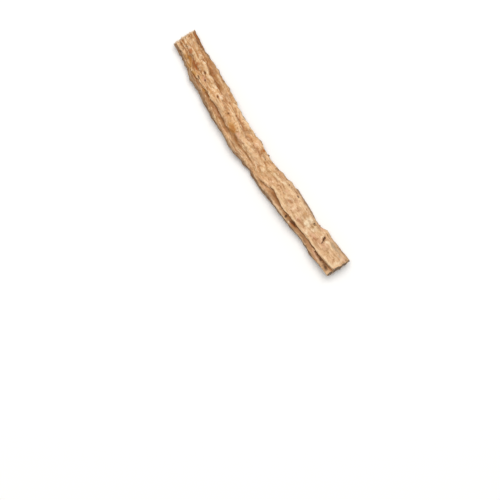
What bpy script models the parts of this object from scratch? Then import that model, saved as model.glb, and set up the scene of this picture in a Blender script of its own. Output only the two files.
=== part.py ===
"""One dried glehnia root, cut to a stick at both ends and lying on its flattened underside.

Metres, with +Z up. X runs along the root, from the cut at its crown end (-X) to the cut at its tip
end (+X). The origin is on the surface that the root lies on, below the middle of the root's box.

A direction round the root is a bearing in degrees: 0 faces +Y, 90 faces up, 180 faces -Y and 270
faces the surface below. Stations along the root are counted from its crown end.
"""

from dataclasses import dataclass

import bmesh
import bpy
import numpy as np

# Driving dimensions. The tables below are in millimetres and degrees.
MM = 0.001
LENGTH = 85.0
ALONG = 0.11
ASIDE = 1.93
SEED = 17

# Where the two sides of the root lie, seen from above: station, +Y side, -Y side.
SIDES = (
    (0.0, 3.45, -3.80),
    (5.0, 2.85, -4.15),
    (10.0, 2.85, -5.00),
    (15.0, 2.50, -5.45),
    (20.0, 2.20, -6.10),
    (25.0, 1.75, -6.50),
    (31.0, 1.00, -6.80),
    (36.0, 1.10, -7.20),
    (40.0, 1.35, -6.75),
    (45.0, 0.75, -6.30),
    (50.0, 1.15, -6.55),
    (56.0, 2.15, -6.15),
    (61.0, 2.55, -6.05),
    (67.0, 2.30, -5.50),
    (71.0, 2.00, -4.95),
    (77.0, 2.90, -5.25),
    (81.0, 3.00, -5.00),
    (85.0, 3.30, -4.70),
)

# The section's height as a share of its width, and how far it is pressed on to the surface.
FLATNESS = ((0.0, 0.86), (14.0, 0.84), (30.0, 0.88), (46.0, 0.92), (60.0, 0.84), (73.0, 0.90), (85.0, 0.84))
PRESS = ((0.0, -0.55), (7.0, 0.20), (13.0, 0.34), (26.0, -0.30), (38.0, 0.30), (47.0, 0.32),
         (60.0, -0.28), (70.0, 0.30), (78.0, 0.34), (85.0, -0.35))
BOXINESS = 2.25

# The relief fades out on the underside, between these shares of the way down.
CALM_FROM = 0.35
CALM_FULL = 0.85
UNDERSIDE_CALM = 0.8

# A furrow's lips stand this many half widths out from its middle, and its floor has this roundness.
LIP_PLACE = 2.1
FURROW_ROUNDNESS = 1.7


@dataclass(frozen=True)
class Furrow:
    """A shrinkage furrow: station, bearing, depth and half width at each of its points."""

    path: tuple
    lips: float = 0.28


@dataclass(frozen=True)
class Swelling:
    """A nub or knot, or a pit where its height is negative, with its reach along and round the root."""

    station: float
    bearing: float
    height: float
    along: float
    around: float


@dataclass(frozen=True)
class Rib:
    """Low ribs all round the root: how many, their height, first bearing, and turn over its length."""

    count: int
    height: float
    bearing: float
    turn: float


FURROWS = (
    # Crown half, low on the -Y side.
    Furrow(((8.5, 141, 0.0, 0.5), (12.6, 142, 0.50, 0.55), (16.3, 136, 0.60, 0.6), (19.4, 126, 0.75, 0.6),
            (23.5, 122, 0.90, 0.6), (27.1, 128, 0.85, 0.6), (30.8, 131, 0.40, 0.6), (33.5, 133, 0.0, 0.6))),
    # Shallow valley along the belly.
    Furrow(((28.0, 116, 0.0, 0.8), (32.9, 122, 0.45, 0.9), (37.0, 114, 0.50, 0.9), (42.5, 120, 0.55, 0.8),
            (47.0, 120, 0.40, 0.8), (51.0, 124, 0.0, 0.8)), lips=0.4),
    # The deep crease of the tip half.
    Furrow(((48.2, 141, 0.0, 0.5), (51.1, 130, 0.50, 0.55), (54.0, 121, 0.85, 0.6), (57.3, 130, 1.00, 0.6),
            (62.0, 137, 1.05, 0.6), (65.0, 131, 0.95, 0.55), (69.3, 134, 0.85, 0.5), (76.0, 128, 0.95, 0.55),
            (81.0, 124, 1.00, 0.55), (86.0, 122, 1.05, 0.6)), lips=0.35),
    # The crease that parts the crease's lower lip from the underside.
    Furrow(((46.0, 166, 0.0, 0.6), (52.0, 172, 0.55, 0.6), (60.0, 178, 0.50, 0.6), (70.0, 176, 0.35, 0.6),
            (79.0, 170, 0.45, 0.6), (86.0, 168, 0.50, 0.6))),
    # Valley below the upper ridge, from the crown end to the middle.
    Furrow(((5.5, 41, 0.0, 0.7), (9.7, 49, 0.35, 0.75), (13.0, 56, 0.60, 0.75), (17.4, 66, 0.70, 0.8),
            (23.0, 66, 0.45, 0.85), (29.0, 50, 0.50, 0.8), (33.9, 55, 0.60, 0.75), (38.0, 67, 0.50, 0.75),
            (44.4, 64, 0.45, 0.75), (52.0, 60, 0.0, 0.8)), lips=0.45),
    # Short valley along the top of the crown end.
    Furrow(((-1.0, 98, 0.25, 0.6), (6.0, 104, 0.40, 0.6), (13.0, 100, 0.35, 0.6), (19.0, 94, 0.0, 0.6))),
    # Valley that crosses the top of the tip half.
    Furrow(((52.0, 74, 0.0, 0.7), (58.0, 82, 0.35, 0.8), (66.0, 92, 0.30, 0.8), (72.0, 96, 0.0, 0.7))),
    # The +Y side.
    Furrow(((6.0, 8, 0.0, 0.6), (14.0, 2, 0.55, 0.6), (27.0, 12, 0.70, 0.6), (37.0, 4, 0.0, 0.6))),
    Furrow(((42.0, 352, 0.0, 0.6), (53.0, 361, 0.75, 0.6), (66.0, 372, 0.85, 0.6), (80.0, 350, 0.50, 0.6),
            (86.0, 346, 0.40, 0.6))),
    Furrow(((18.0, 322, 0.0, 0.7), (33.0, 330, 0.70, 0.7), (49.0, 316, 0.65, 0.7), (61.0, 324, 0.0, 0.7))),
    # The -Y side, below the furrows above.
    Furrow(((-1.0, 205, 0.35, 0.6), (13.0, 198, 0.75, 0.6), (29.0, 206, 0.70, 0.6), (42.0, 196, 0.0, 0.6))),
    Furrow(((38.0, 232, 0.0, 0.7), (52.0, 224, 0.70, 0.7), (67.0, 231, 0.65, 0.7), (78.0, 222, 0.0, 0.7))),
)

KNOTS = (
    # Nubs that stand out of the two sides.
    Swelling(11.7, 14, 0.42, 1.1, 0.9),
    Swelling(18.4, 10, 0.34, 1.3, 0.9),
    Swelling(22.2, 16, 0.26, 0.8, 0.8),
    Swelling(39.6, 14, 0.30, 0.9, 0.8),
    Swelling(11.4, 172, 0.42, 0.7, 0.7),
    Swelling(24.9, 176, 0.52, 0.8, 0.8),
    Swelling(35.0, 190, 0.30, 1.6, 1.2),
    # The collar and the scar of a rootlet that broke off.
    Swelling(73.9, 22, 0.66, 1.4, 1.6),
    Swelling(77.2, 48, 0.34, 0.9, 1.2),
    Swelling(74.3, 62, 0.24, 0.5, 1.1),
    Swelling(75.6, 60, -0.72, 0.55, 1.0),
    # Knots on the far side and underneath.
    Swelling(31.0, 356, 0.45, 1.2, 1.0),
    Swelling(58.5, 344, 0.50, 1.3, 1.1),
    Swelling(47.0, 214, 0.45, 1.2, 1.0),
    Swelling(66.5, 204, 0.40, 1.0, 0.9),
    Swelling(20.0, 228, 0.40, 1.3, 1.0),
)

# Warts where rootlets grew, scattered by a seeded draw, more of them towards the crown: how many,
# their heights and their reaches.
WARTS = 120
WART_HEIGHTS = (0.12, 0.32)
WART_ALONG = (0.75, 1.30)
WART_AROUND = (0.60, 1.00)
WART_MARGIN = 1.5
CROWNWARD = 1.25

RIBS = (Rib(2, 0.10, 25, 40), Rib(3, 0.14, 70, -50), Rib(5, 0.14, 10, 60), Rib(8, 0.13, 130, -35),
        Rib(11, 0.09, 40, 45))

# The ribs sway to and fro: how far, how many times over the length, and how much later each kind is.
RIB_SWAY = 9.0
SWAYS = 2.3
SWAY_STEP = 0.37

# The cuts: each face leans out from near its top to its foot, and has a rough, slightly broken rim.
CROWN_LEAN = 0.17
TIP_LEAN = 0.13
LEAN_TOP = 5.5
RIM_ROUGHNESS = 0.20
RIM_PITCH = 3.4
RIM_BLEND = 2.6
CORE_SHARE = 0.42
CORE_HEIGHT = 0.16
FACE_ROUGHNESS = 0.08
FACE_PITCH = 2.2
FACE_FADE = 0.25
FACE_RINGS = (0.94, 0.80, 0.62, 0.42, 0.20)

# The mesh: sections along the root and points round each of them.
SECTIONS = 98
AROUND = 48


def smooth_through(stations, values, at):
    """A smooth curve through the values at the stations, read at the places asked for."""
    stations, values = np.asarray(stations, float), np.asarray(values, float)
    slopes = np.gradient(values, stations)
    at = np.clip(at, stations[0], stations[-1])
    index = np.clip(np.searchsorted(stations, at, side="right") - 1, 0, len(stations) - 2)
    span = stations[index + 1] - stations[index]
    t = (at - stations[index]) / span
    rise = t * t * (3 - 2 * t)
    return (values[index] * (1 - rise) + values[index + 1] * rise
            + slopes[index] * span * t * (1 - t) ** 2 - slopes[index + 1] * span * t * t * (1 - t))


def column(table, number, at):
    """A column of a table whose first column is the station, as a smooth curve."""
    stations = [row[0] for row in table]
    return smooth_through(stations, [row[number] for row in table], at)


def turn_between(bearing, other):
    """The short way round from one bearing to another, in degrees."""
    return (bearing - other + 180.0) % 360.0 - 180.0


def furrow_relief(furrow, station, bearing, radius):
    """How far the furrow sinks the surface, with a low lip along each side of it."""
    depth = np.maximum(column(furrow.path, 2, station), 0.0)
    depth = np.where((station < furrow.path[0][0]) | (station > furrow.path[-1][0]), 0.0, depth)
    across = np.radians(turn_between(bearing, column(furrow.path, 1, station))) * radius
    across = np.abs(across) / column(furrow.path, 3, station)
    return depth * (furrow.lips * np.exp(-((across - LIP_PLACE) ** 2)) - np.exp(-across ** FURROW_ROUNDNESS))


def swelling_relief(swelling, station, bearing, radius):
    """How far the swelling lifts the surface."""
    across = np.radians(turn_between(bearing, swelling.bearing)) * radius / swelling.around
    along = (station - swelling.station) / swelling.along
    return swelling.height * np.exp(-(across ** 2) - along ** 2)


def rib_relief(station, bearing):
    """The low ribs that run the whole length, drift round the root and sway."""
    share = station / LENGTH
    total = np.zeros_like(bearing)
    for number, rib in enumerate(RIBS):
        sway = RIB_SWAY * np.sin(2 * np.pi * (SWAYS * share + SWAY_STEP * number))
        total += rib.height * np.cos(np.radians(rib.count * (bearing - rib.bearing - rib.turn * share - sway)))
    return total


def warts():
    """The scattered warts, the same ones each time."""
    draw = np.random.default_rng(SEED)
    room = LENGTH - 2 * WART_MARGIN
    return [
        Swelling(WART_MARGIN + room * draw.uniform() ** CROWNWARD, draw.uniform(0, 360),
                 draw.uniform(*WART_HEIGHTS), draw.uniform(*WART_ALONG), draw.uniform(*WART_AROUND))
        for _ in range(WARTS)
    ]


def relief(station, bearing, radius):
    """The height of the wrinkled surface over the plain section, calmed where the root lies on it."""
    total = rib_relief(station, bearing)
    for furrow in FURROWS:
        total += furrow_relief(furrow, station, bearing, radius)
    for swelling in (*KNOTS, *warts()):
        total += swelling_relief(swelling, station, bearing, radius)
    downward = -np.sin(np.radians(bearing))
    calm = np.clip((downward - CALM_FROM) / (CALM_FULL - CALM_FROM), 0, 1)
    return total * (1 - UNDERSIDE_CALM * calm)


def section_point(station, bearing):
    """The root's surface at a station and bearing, as y and z, with the middle of its section."""
    left, right = column(SIDES, 1, station), column(SIDES, 2, station)
    half_width = (left - right) / 2
    half_height = half_width * column(FLATNESS, 1, station)
    middle_y = (left + right) / 2
    middle_z = half_height - column(PRESS, 1, station)
    cosine, sine = np.cos(np.radians(bearing)), np.sin(np.radians(bearing))
    y = half_width * np.sign(cosine) * np.abs(cosine) ** (2 / BOXINESS)
    z = half_height * np.sign(sine) * np.abs(sine) ** (2 / BOXINESS)
    out_y, out_z = cosine / half_width, sine / half_height
    out = relief(station, bearing, np.hypot(y, z)) / np.hypot(out_y, out_z)
    return middle_y + y + out * out_y, middle_z + z + out * out_z, middle_y, middle_z


def ragged(y, z, pitch, phase):
    """An uneven height between -1 and 1 over a cut, with bumps about a pitch across."""
    over_y, over_z = 2 * np.pi * y / pitch, 2 * np.pi * z / pitch
    return (np.sin(over_y + phase) * np.cos(over_z - phase) + np.sin(2 * over_z + over_y)) / 2


def cut_offset(y, z, end):
    """How far the cut at an end stands out at a point of it: the lean and the ragged rim."""
    lean = CROWN_LEAN if end < 0 else TIP_LEAN
    return RIM_ROUGHNESS * ragged(y, z, RIM_PITCH, end) + lean * (LEAN_TOP - z)


def face_offset(y, z, share):
    """The cut face's own relief: a woody core that stands proud, and torn fibres round it."""
    core = CORE_HEIGHT * (1 - np.clip(share / CORE_SHARE, 0, 1) ** 2)
    return core + FACE_ROUGHNESS * ragged(y, z, FACE_PITCH, 0) * np.clip((1 - share) / FACE_FADE, 0, 1)


def root_points(ring, bearing):
    """Where each ring of the mesh goes: rings of the crown face, the sections, rings of the tip face."""
    faces = len(FACE_RINGS)
    share = np.ones_like(bearing)
    end = np.zeros_like(bearing)
    station = np.clip((ring - faces - 1) / (SECTIONS - 1) * LENGTH, 0.0, LENGTH)
    last = SECTIONS + 2 * faces + 1
    for number, value in enumerate((0.0, *FACE_RINGS[::-1])):
        for here, side in ((ring == number, -1), (ring == last - number, 1)):
            share[here] = value
            end[here] = side
    y, z, middle_y, middle_z = section_point(station, bearing)
    y = middle_y + (y - middle_y) * share
    z = middle_z + (z - middle_z) * share
    x = station - LENGTH / 2
    for side in (-1, 1):
        near = np.clip(1 - (LENGTH / 2 - side * x) / RIM_BLEND, 0, 1) ** 2
        x = x + side * near * cut_offset(y, z, side) + np.where(end == side, side * face_offset(y, z, share), 0)
    return np.stack([x + ALONG, y + ASIDE, np.maximum(z, 0.0)], axis=-1) * MM


def make_root():
    """The root: a sphere's rings of points, moved out into the root's sections and cut faces."""
    rings = SECTIONS + 2 * len(FACE_RINGS) + 1
    mesh = bpy.data.meshes.new("root")
    form = bmesh.new()
    bmesh.ops.create_uvsphere(form, u_segments=AROUND, v_segments=rings, radius=1.0)
    place = np.array([vertex.co[:] for vertex in form.verts])
    ring = np.round(np.arccos(np.clip(-place[:, 2], -1, 1)) / np.pi * rings).astype(int)
    bearing = np.degrees(np.arctan2(place[:, 1], place[:, 0])) % 360
    for vertex, point in zip(form.verts, root_points(ring, bearing)):
        vertex.co = point
    bmesh.ops.recalc_face_normals(form, faces=form.faces)
    form.to_mesh(mesh)
    form.free()
    mesh.shade_smooth()
    return bpy.data.objects.new("root", mesh)


def dried_bark():
    """Dried, unpeeled root skin: pale yellow-brown and matt."""
    material = bpy.data.materials.new("dried_bark")
    material.use_nodes = True
    shader = material.node_tree.nodes["Principled BSDF"]
    shader.inputs["Base Color"].default_value = (0.64, 0.42, 0.24, 1.0)
    shader.inputs["Roughness"].default_value = 0.8
    shader.inputs["Metallic"].default_value = 0.0
    return material


def main():
    """Clear the scene and build the root in its own collection."""
    for old in list(bpy.data.objects):
        bpy.data.objects.remove(old)
    collection = bpy.data.collections.new("glehnia_root")
    bpy.context.scene.collection.children.link(collection)
    root = make_root()
    root.data.materials.append(dried_bark())
    collection.objects.link(root)


main()
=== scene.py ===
"""A dried glehnia root, cut to a stick and lying on its underside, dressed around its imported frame.

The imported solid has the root's form at a coarse pitch. The same rule is drawn here at a fine pitch,
and its skin gets the wrinkles, pits, rootlet stubs, cork flakes and torn fibres that the solid leaves
out. Lengths in tables and fields are in millimetres and bearings in degrees, unless a name says
otherwise. A bearing runs round the root: 0 faces +Y, 90 up, 180 -Y and 270 the surface below.
Stations are counted along the root from its crown end.
"""

import logging
import math
from dataclasses import dataclass, field
from enum import Enum

import bmesh
import bpy
import numpy as np
from mathutils import Matrix, Vector


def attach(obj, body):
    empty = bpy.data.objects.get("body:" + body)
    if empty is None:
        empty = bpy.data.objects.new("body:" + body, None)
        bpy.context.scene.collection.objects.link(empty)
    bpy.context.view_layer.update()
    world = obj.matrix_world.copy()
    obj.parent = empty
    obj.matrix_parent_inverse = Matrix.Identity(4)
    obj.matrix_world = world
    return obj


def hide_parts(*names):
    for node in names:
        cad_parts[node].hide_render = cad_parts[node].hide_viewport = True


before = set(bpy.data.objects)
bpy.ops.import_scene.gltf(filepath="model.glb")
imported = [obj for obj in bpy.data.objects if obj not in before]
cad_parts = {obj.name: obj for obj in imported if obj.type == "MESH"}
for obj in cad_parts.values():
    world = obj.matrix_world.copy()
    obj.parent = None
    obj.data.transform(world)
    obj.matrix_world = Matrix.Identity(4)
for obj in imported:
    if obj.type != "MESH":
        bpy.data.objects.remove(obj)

LOG = logging.getLogger("glehnia_root")
MM = 0.001
BODY = "root"

# The kinds of node that are used most.
MATH = "ShaderNodeMath"
VECTORS = "ShaderNodeVectorMath"
NOISE = "ShaderNodeTexNoise"
RANGE = "ShaderNodeMapRange"
JOIN = "ShaderNodeCombineXYZ"
SPLIT = "ShaderNodeSeparateXYZ"
READ = "GeometryNodeInputNamedAttribute"
PLACE = "GeometryNodeSetPosition"
COMPARE = "FunctionNodeCompare"
RANDOM = "FunctionNodeRandomValue"

# A noise has its mean here, and its colour has it in each channel.
NOISE_MEAN = 0.5
NOISE_MIDDLE = (NOISE_MEAN, NOISE_MEAN, NOISE_MEAN)

# Each noise of a set starts this many of its own sizes further along than the one before it.
PATTERN_STEP = 7.3

Array = np.ndarray
Node = bpy.types.Node
Tree = bpy.types.NodeTree
Socket = bpy.types.NodeSocket


class CutEnd(Enum):
    """The two ends of the root, by the side of X that each faces."""

    CROWN = -1
    TIP = 1


class Tint(Enum):
    """The kinds of stain on the skin, each with the name of the attribute that holds it. Brown and dark also
    hold painted shade, and pale holds painted highlights.
    """

    BROWN = "stain_brown"
    RUST = "stain_rust"
    OCHRE = "stain_ochre"
    DARK = "stain_dark"
    PINK = "stain_pink"
    PALE = "stain_pale"
    GREY = "stain_grey"


def linear(colour: str) -> tuple[float, float, float, float]:
    """Turn an sRGB colour into Blender's linear one.

    Args:
        colour: Six hex digits after a hash sign.

    Returns:
        Red, green, blue and an alpha of one.
    """
    shares = [int(colour[start:start + 2], 16) / 255 for start in (1, 3, 5)]
    turned = [share / 12.92 if share <= 0.04045 else ((share + 0.055) / 1.055) ** 2.4 for share in shares]
    return (*turned, 1.0)


def add_node(tree: Tree, kind: str, *values: object, named: dict | None = None, **settings: object) -> Node:
    """Add a node with its settings, values and links.

    Args:
        tree: The node tree that gets it.
        kind: The node's type.
        values: What its first inputs get, in order. A socket is linked, and a node by its first output.
        named: The same for other inputs, by name or number.
        settings: The node's own properties.

    Returns:
        The new node.
    """
    node = tree.nodes.new(kind)
    for name, value in settings.items():
        setattr(node, name, value)
    for name, value in (*enumerate(values), *(named or {}).items()):
        value = value.outputs[0] if isinstance(value, bpy.types.Node) else value
        if isinstance(value, bpy.types.NodeSocket):
            tree.links.new(value, node.inputs[name])
        else:
            node.inputs[name].default_value = value
    return node


def new_tree(name: str, inputs: dict[str, float]) -> tuple[Tree, Node]:
    """Start a geometry tree with a geometry socket at both ends and a number socket for each size.

    Args:
        name: The tree's name.
        inputs: Each named input with its default.

    Returns:
        The tree and its input node.
    """
    tree = bpy.data.node_groups.new(name, "GeometryNodeTree")
    tree.interface.new_socket("Geometry", in_out="INPUT", socket_type="NodeSocketGeometry")
    tree.interface.new_socket("Geometry", in_out="OUTPUT", socket_type="NodeSocketGeometry")
    for label, default in inputs.items():
        kind = "NodeSocketInt" if isinstance(default, int) else "NodeSocketFloat"
        tree.interface.new_socket(label, in_out="INPUT", socket_type=kind).default_value = default
    return tree, tree.nodes.new("NodeGroupInput")


def finish_tree(tree: Tree, geometry: Node, materials: dict) -> None:
    """End a geometry tree in Realize Instances, Set Material and the output.

    Args:
        tree: The tree.
        geometry: The node that holds its result.
        materials: Each material with the selection of its faces, or None for all of them.
    """
    made = add_node(tree, "GeometryNodeRealizeInstances", geometry)
    for material, selection in materials.items():
        values = {"Material": material}
        if selection is not None:
            values["Selection"] = selection
        made = add_node(tree, "GeometryNodeSetMaterial", made, named=values)
    add_node(tree, "NodeGroupOutput", made)


def metres(tree: Tree, size: dict, names: tuple, share: float = 1.0) -> list[Node]:
    """Turn a tree's named inputs from millimetres into metres, or into a share of that."""
    return [add_node(tree, MATH, size[name], MM * share, operation="MULTIPLY") for name in names]


def new_object(name: str, data: bpy.types.ID) -> bpy.types.Object:
    """Put an object with this data into the scene."""
    made = bpy.data.objects.new(name, data)
    bpy.context.scene.collection.objects.link(made)
    return made


def grown(host: bpy.types.Object, tree: Tree, sizes: dict[str, float], name: str) -> bpy.types.Object:
    """Run a geometry tree on a mesh and keep what it makes as a plain mesh.

    Args:
        host: The object whose mesh the tree reads.
        tree: The tree.
        sizes: The value of each of its named inputs.
        name: The name of the new object.

    Returns:
        An object at the origin with the plain mesh and no modifier.
    """
    modifier = host.modifiers.new(tree.name, "NODES")
    modifier.node_group = tree
    for item in tree.interface.items_tree:
        if item.in_out == "INPUT" and item.name in sizes:
            modifier[item.identifier] = sizes[item.name]
    evaluated = host.evaluated_get(bpy.context.evaluated_depsgraph_get())
    mesh = bpy.data.meshes.new_from_object(evaluated)
    host.modifiers.remove(modifier)
    mesh.name = name
    mesh.shade_smooth()
    return new_object(name, mesh)


@dataclass(frozen=True)
class Furrow:
    """A shrinkage furrow: station, bearing, depth and half width at each of its points."""

    path: tuple
    lips: float = 0.28


@dataclass(frozen=True)
class Swelling:
    """A nub or knot, or a pit where its height is negative, with its reach along and round the root."""

    station: float
    bearing: float
    height: float
    along: float
    around: float


@dataclass(frozen=True)
class Rib:
    """Low ribs all round the root: how many, their height, first bearing, and turn over its length."""

    count: int
    height: float
    bearing: float
    turn: float


@dataclass(frozen=True)
class Mark:
    """A stain, patch of painted shade, patch of painted highlight or pit seen from above: station, place
    aside of the chord, reach both ways, strength.
    """

    station: float
    aside: float
    along: float
    across: float
    strength: float


@dataclass(frozen=True)
class RootForm:
    """The root's form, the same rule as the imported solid's."""

    length: float = 85.0
    along: float = 0.11
    aside: float = 1.93
    seed: int = 17

    # Where the two sides lie, seen from above: station, +Y side, -Y side.
    sides: tuple = (
        (0.0, 3.45, -3.80), (5.0, 2.85, -4.15), (10.0, 2.85, -5.00), (15.0, 2.50, -5.45),
        (20.0, 2.20, -6.10), (25.0, 1.75, -6.50), (31.0, 1.00, -6.80), (36.0, 1.10, -7.20),
        (40.0, 1.35, -6.75), (45.0, 0.75, -6.30), (50.0, 1.15, -6.55), (56.0, 2.15, -6.15),
        (61.0, 2.55, -6.05), (67.0, 2.30, -5.50), (71.0, 2.00, -4.95), (77.0, 2.90, -5.25),
        (81.0, 3.00, -5.00), (85.0, 3.30, -4.70),
    )
    flatness: tuple = ((0.0, 0.86), (14.0, 0.84), (30.0, 0.88), (46.0, 0.92), (60.0, 0.84), (73.0, 0.90),
                       (85.0, 0.84))
    press: tuple = ((0.0, -0.55), (7.0, 0.20), (13.0, 0.34), (26.0, -0.30), (38.0, 0.30), (47.0, 0.32),
                    (60.0, -0.28), (70.0, 0.30), (78.0, 0.34), (85.0, -0.35))
    boxiness: float = 2.25

    # The relief fades out on the underside, between these shares of the way down.
    calm_from: float = 0.35
    calm_full: float = 0.85
    underside_calm: float = 0.8

    lip_place: float = 2.1
    furrow_roundness: float = 1.7
    furrows: tuple = (
        # Crown half, low on the -Y side.
        Furrow(((8.5, 141, 0.0, 0.5), (12.6, 142, 0.50, 0.55), (16.3, 136, 0.60, 0.6),
                (19.4, 126, 0.75, 0.6), (23.5, 122, 0.90, 0.6), (27.1, 128, 0.85, 0.6),
                (30.8, 131, 0.40, 0.6), (33.5, 133, 0.0, 0.6))),
        # Shallow valley along the belly.
        Furrow(((28.0, 116, 0.0, 0.8), (32.9, 122, 0.45, 0.9), (37.0, 114, 0.50, 0.9),
                (42.5, 120, 0.55, 0.8), (47.0, 120, 0.40, 0.8), (51.0, 124, 0.0, 0.8)), lips=0.4),
        # The deep crease of the tip half.
        Furrow(((48.2, 141, 0.0, 0.5), (51.1, 130, 0.50, 0.55), (54.0, 121, 0.85, 0.6),
                (57.3, 130, 1.00, 0.6), (62.0, 137, 1.05, 0.6), (65.0, 131, 0.95, 0.55),
                (69.3, 134, 0.85, 0.5), (76.0, 128, 0.95, 0.55), (81.0, 124, 1.00, 0.55),
                (86.0, 122, 1.05, 0.6)), lips=0.35),
        # The crease that parts the crease's lower lip from the underside.
        Furrow(((46.0, 166, 0.0, 0.6), (52.0, 172, 0.55, 0.6), (60.0, 178, 0.50, 0.6),
                (70.0, 176, 0.35, 0.6), (79.0, 170, 0.45, 0.6), (86.0, 168, 0.50, 0.6))),
        # Valley below the upper ridge, from the crown end to the middle.
        Furrow(((5.5, 41, 0.0, 0.7), (9.7, 49, 0.35, 0.75), (13.0, 56, 0.60, 0.75), (17.4, 66, 0.70, 0.8),
                (23.0, 66, 0.45, 0.85), (29.0, 50, 0.50, 0.8), (33.9, 55, 0.60, 0.75),
                (38.0, 67, 0.50, 0.75), (44.4, 64, 0.45, 0.75), (52.0, 60, 0.0, 0.8)), lips=0.45),
        # Short valley along the top of the crown end.
        Furrow(((-1.0, 98, 0.25, 0.6), (6.0, 104, 0.40, 0.6), (13.0, 100, 0.35, 0.6),
                (19.0, 94, 0.0, 0.6))),
        # Valley that crosses the top of the tip half.
        Furrow(((52.0, 74, 0.0, 0.7), (58.0, 82, 0.35, 0.8), (66.0, 92, 0.30, 0.8),
                (72.0, 96, 0.0, 0.7))),
        # The +Y side.
        Furrow(((6.0, 8, 0.0, 0.6), (14.0, 2, 0.55, 0.6), (27.0, 12, 0.70, 0.6), (37.0, 4, 0.0, 0.6))),
        Furrow(((42.0, 352, 0.0, 0.6), (53.0, 361, 0.75, 0.6), (66.0, 372, 0.85, 0.6),
                (80.0, 350, 0.50, 0.6), (86.0, 346, 0.40, 0.6))),
        Furrow(((18.0, 322, 0.0, 0.7), (33.0, 330, 0.70, 0.7), (49.0, 316, 0.65, 0.7),
                (61.0, 324, 0.0, 0.7))),
        # The -Y side, below the furrows above.
        Furrow(((-1.0, 205, 0.35, 0.6), (13.0, 198, 0.75, 0.6), (29.0, 206, 0.70, 0.6),
                (42.0, 196, 0.0, 0.6))),
        Furrow(((38.0, 232, 0.0, 0.7), (52.0, 224, 0.70, 0.7), (67.0, 231, 0.65, 0.7),
                (78.0, 222, 0.0, 0.7))),
    )
    knots: tuple = (
        # Nubs that stand out of the two sides.
        Swelling(11.7, 14, 0.42, 1.1, 0.9), Swelling(18.4, 10, 0.34, 1.3, 0.9),
        Swelling(22.2, 16, 0.26, 0.8, 0.8), Swelling(39.6, 14, 0.30, 0.9, 0.8),
        Swelling(11.4, 172, 0.42, 0.7, 0.7), Swelling(24.9, 176, 0.52, 0.8, 0.8),
        Swelling(35.0, 190, 0.30, 1.6, 1.2),
        # The collar and the scar of a rootlet that broke off.
        Swelling(73.9, 22, 0.66, 1.4, 1.6), Swelling(77.2, 48, 0.34, 0.9, 1.2),
        Swelling(74.3, 62, 0.24, 0.5, 1.1), Swelling(75.6, 60, -0.72, 0.55, 1.0),
        # Knots on the far side and underneath.
        Swelling(31.0, 356, 0.45, 1.2, 1.0), Swelling(58.5, 344, 0.50, 1.3, 1.1),
        Swelling(47.0, 214, 0.45, 1.2, 1.0), Swelling(66.5, 204, 0.40, 1.0, 0.9),
        Swelling(20.0, 228, 0.40, 1.3, 1.0),
    )

    # Warts where rootlets grew, more of them towards the crown.
    warts: int = 120
    wart_heights: tuple = (0.12, 0.32)
    wart_along: tuple = (0.75, 1.30)
    wart_around: tuple = (0.60, 1.00)
    wart_margin: float = 1.5
    crownward: float = 1.25

    ribs: tuple = (Rib(2, 0.10, 25, 40), Rib(3, 0.14, 70, -50), Rib(5, 0.14, 10, 60),
                   Rib(8, 0.13, 130, -35), Rib(11, 0.09, 40, 45))
    rib_sway: float = 9.0
    sways: float = 2.3
    sway_step: float = 0.37

    # The cuts lean out from near their top to their foot, and have a rough rim.
    crown_lean: float = 0.17
    tip_lean: float = 0.13
    lean_top: float = 5.5
    rim_roughness: float = 0.20
    rim_pitch: float = 3.4
    rim_blend: float = 2.6
    core_share: float = 0.42
    core_height: float = 0.16
    face_roughness: float = 0.08
    face_pitch: float = 2.2
    face_fade: float = 0.25

    @staticmethod
    def smooth_through(stations: list, values: list, at: Array) -> Array:
        """Read a smooth curve through the values at the stations.

        Args:
            stations: Rising places along the root.
            values: The value at each of them.
            at: The places asked for.

        Returns:
            The curve's value at each place.
        """
        stations, values = np.asarray(stations, float), np.asarray(values, float)
        slopes = np.gradient(values, stations)
        at = np.clip(at, stations[0], stations[-1])
        index = np.clip(np.searchsorted(stations, at, side="right") - 1, 0, len(stations) - 2)
        span = stations[index + 1] - stations[index]
        t = (at - stations[index]) / span
        rise = t * t * (3 - 2 * t)
        return (values[index] * (1 - rise) + values[index + 1] * rise
                + slopes[index] * span * t * (1 - t) ** 2 - slopes[index + 1] * span * t * t * (1 - t))

    def column(self, table: tuple, number: int, at: Array) -> Array:
        """Read a column of a table whose first column is the station, as a smooth curve."""
        return self.smooth_through([row[0] for row in table], [row[number] for row in table], at)

    @staticmethod
    def turn_between(bearing: Array, other: Array) -> Array:
        """Give the short way round from one bearing to another."""
        return (bearing - other + 180.0) % 360.0 - 180.0

    def furrow_relief(self, furrow: Furrow, station: Array, bearing: Array, radius: Array) -> Array:
        """Work out how far a furrow sinks the surface, with a low lip along each side of it.

        Args:
            furrow: The furrow.
            station: Each point's station.
            bearing: Each point's bearing.
            radius: Each point's distance from the middle of its section.

        Returns:
            The height at each point, below zero in the furrow.
        """
        depth = np.maximum(self.column(furrow.path, 2, station), 0.0)
        depth = np.where((station < furrow.path[0][0]) | (station > furrow.path[-1][0]), 0.0, depth)
        across = np.radians(self.turn_between(bearing, self.column(furrow.path, 1, station))) * radius
        across = np.abs(across) / self.column(furrow.path, 3, station)
        lips = furrow.lips * np.exp(-((across - self.lip_place) ** 2))
        return depth * (lips - np.exp(-across ** self.furrow_roundness))

    def swelling_relief(self, swelling: Swelling, station: Array, bearing: Array, radius: Array) -> Array:
        """Work out how far a swelling lifts the surface.

        Args:
            swelling: The swelling.
            station: Each point's station.
            bearing: Each point's bearing.
            radius: Each point's distance from the middle of its section.

        Returns:
            The height at each point.
        """
        across = np.radians(self.turn_between(bearing, swelling.bearing)) * radius / swelling.around
        along = (station - swelling.station) / swelling.along
        return swelling.height * np.exp(-(across ** 2) - along ** 2)

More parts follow.
